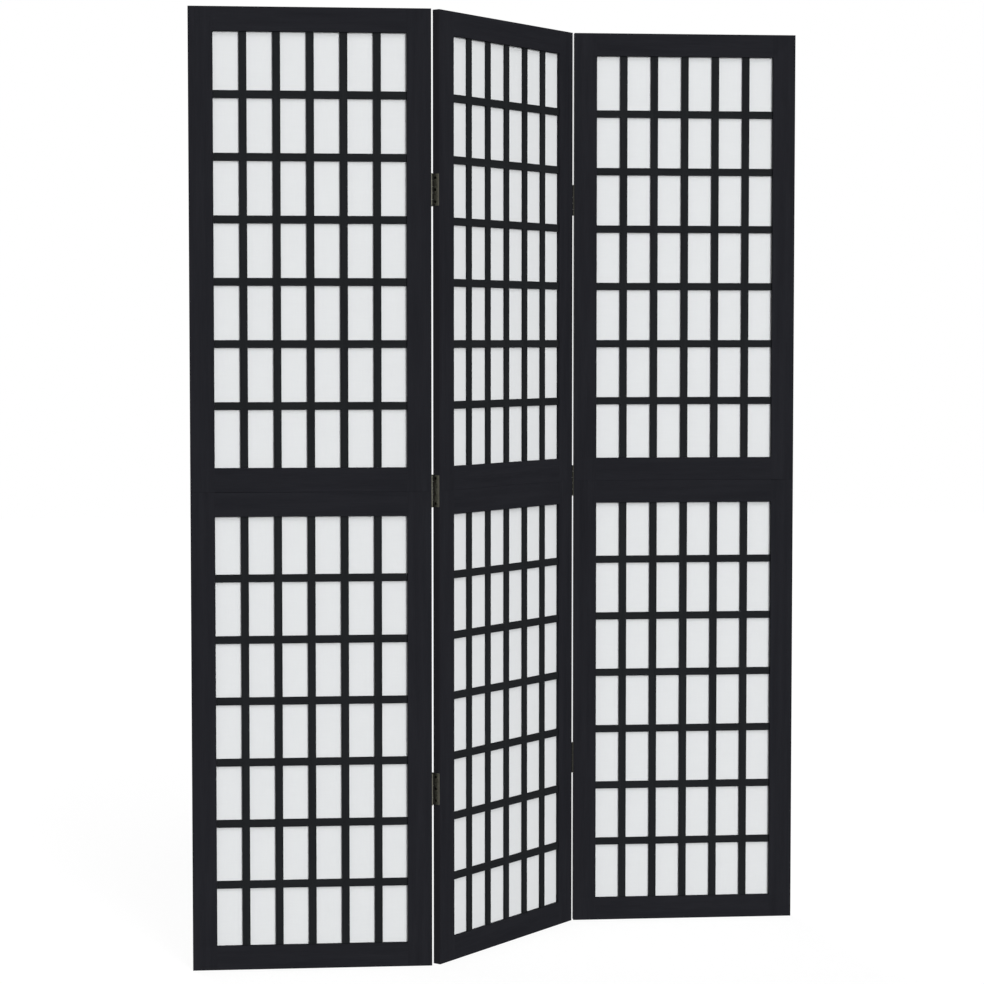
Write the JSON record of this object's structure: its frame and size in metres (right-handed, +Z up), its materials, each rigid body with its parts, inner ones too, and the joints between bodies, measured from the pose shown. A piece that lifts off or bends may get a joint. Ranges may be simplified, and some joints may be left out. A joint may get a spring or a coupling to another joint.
{
  "type": "shoji folding screen",
  "caption": "Folding room divider of hinged panels: black wooden frames with a square-ruled lattice over white paper, standing in a zig-zag.",
  "frame": {"origin": "on the floor at the middle panel's centre, which is the centre of the whole zig-zag", "axes": "+Z up, +X along the left and right panels towards the right one, -Y out of the front of the screen"},
  "size_m": [1.2122, 0.3682, 1.8],
  "materials": {
    "black_wood": "satin black stain",
    "black_strip": "satin black stain",
    "screen_paper": "matt white paper",
    "hinge_bronze": "dark bronze, satin",
    "hinge_pin": "satin"
  },
  "bodies": {
    "middle_panel": {"middle_lower_left_stile": "black_wood", "middle_lower_right_stile": "black_wood", "middle_lower_bottom_rail": "black_wood", "middle_lower_top_rail": "black_wood", "middle_lower_front_lattice": "black_strip", "middle_lower_back_lattice": "black_strip", "middle_lower_paper": "screen_paper", "middle_upper_left_stile": "black_wood", "middle_upper_right_stile": "black_wood", "middle_upper_bottom_rail": "black_wood", "middle_upper_top_rail": "black_wood", "middle_upper_front_lattice": "black_strip", "middle_upper_back_lattice": "black_strip", "middle_upper_paper": "screen_paper", "left_fold_bottom_inner_leaf": "hinge_bronze", "left_fold_centre_inner_leaf": "hinge_bronze", "left_fold_top_inner_leaf": "hinge_bronze", "left_fold_bottom_pin": "hinge_pin", "left_fold_centre_pin": "hinge_pin", "left_fold_top_pin": "hinge_pin", "right_fold_bottom_inner_leaf": "hinge_bronze", "right_fold_centre_inner_leaf": "hinge_bronze", "right_fold_top_inner_leaf": "hinge_bronze", "right_fold_bottom_pin": "hinge_pin", "right_fold_centre_pin": "hinge_pin", "right_fold_top_pin": "hinge_pin"},
    "left_panel": {"left_lower_left_stile": "black_wood", "left_lower_right_stile": "black_wood", "left_lower_bottom_rail": "black_wood", "left_lower_top_rail": "black_wood", "left_lower_front_lattice": "black_strip", "left_lower_back_lattice": "black_strip", "left_lower_paper": "screen_paper", "left_upper_left_stile": "black_wood", "left_upper_right_stile": "black_wood", "left_upper_bottom_rail": "black_wood", "left_upper_top_rail": "black_wood", "left_upper_front_lattice": "black_strip", "left_upper_back_lattice": "black_strip", "left_upper_paper": "screen_paper", "left_fold_bottom_outer_leaf": "hinge_bronze", "left_fold_centre_outer_leaf": "hinge_bronze", "left_fold_top_outer_leaf": "hinge_bronze"},
    "right_panel": {"right_lower_left_stile": "black_wood", "right_lower_right_stile": "black_wood", "right_lower_bottom_rail": "black_wood", "right_lower_top_rail": "black_wood", "right_lower_front_lattice": "black_strip", "right_lower_back_lattice": "black_strip", "right_lower_paper": "screen_paper", "right_upper_left_stile": "black_wood", "right_upper_right_stile": "black_wood", "right_upper_bottom_rail": "black_wood", "right_upper_top_rail": "black_wood", "right_upper_front_lattice": "black_strip", "right_upper_back_lattice": "black_strip", "right_upper_paper": "screen_paper", "right_fold_bottom_outer_leaf": "hinge_bronze", "right_fold_centre_outer_leaf": "hinge_bronze", "right_fold_top_outer_leaf": "hinge_bronze"}
  },
  "joints": [
    {"name": "left_fold", "type": "hinge", "parent": "middle_panel", "child": "left_panel", "pos_m": [-0.15379, -0.16759, 0.9], "axis": [0, 0, -1], "range_deg": [-54.6, 130.4]},
    {"name": "right_fold", "type": "hinge", "parent": "middle_panel", "child": "right_panel", "pos_m": [0.15379, 0.16759, 0.9], "axis": [0, 0, -1], "range_deg": [-54.6, 130.4]}
  ]
}
